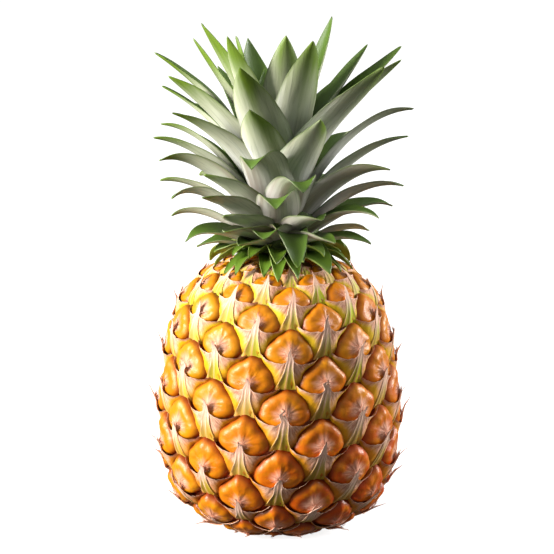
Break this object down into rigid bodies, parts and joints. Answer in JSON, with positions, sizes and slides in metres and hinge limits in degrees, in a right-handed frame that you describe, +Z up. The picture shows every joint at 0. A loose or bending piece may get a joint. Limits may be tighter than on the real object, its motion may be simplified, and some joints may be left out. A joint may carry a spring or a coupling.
{
  "type": "pineapple",
  "caption": "Whole fresh pineapple standing upright on its cut base: a barrel-shaped fruit covered in raised eyes and pointed bracts, under a tall crown of stiff leaves.",
  "frame": {"origin": "middle of the cut base that the fruit stands on", "axes": "+Z up through the fruit and its crown, -Y is the side that faces the viewer, +X to that viewer's right"},
  "size_m": [0.1308, 0.1296, 0.255],
  "materials": {
    "rind": "waxy orange-yellow eyes between dry tan and yellow-green bracts",
    "leaf": "stiff leaf, mealy grey-green outside and deeper green inside",
    "cut_stalk": "dry cut fibre"
  },
  "bodies": {
    "root": {"fruit": "rind", "crown": "leaf", "stalk": "cut_stalk"}
  },
  "joints": []
}
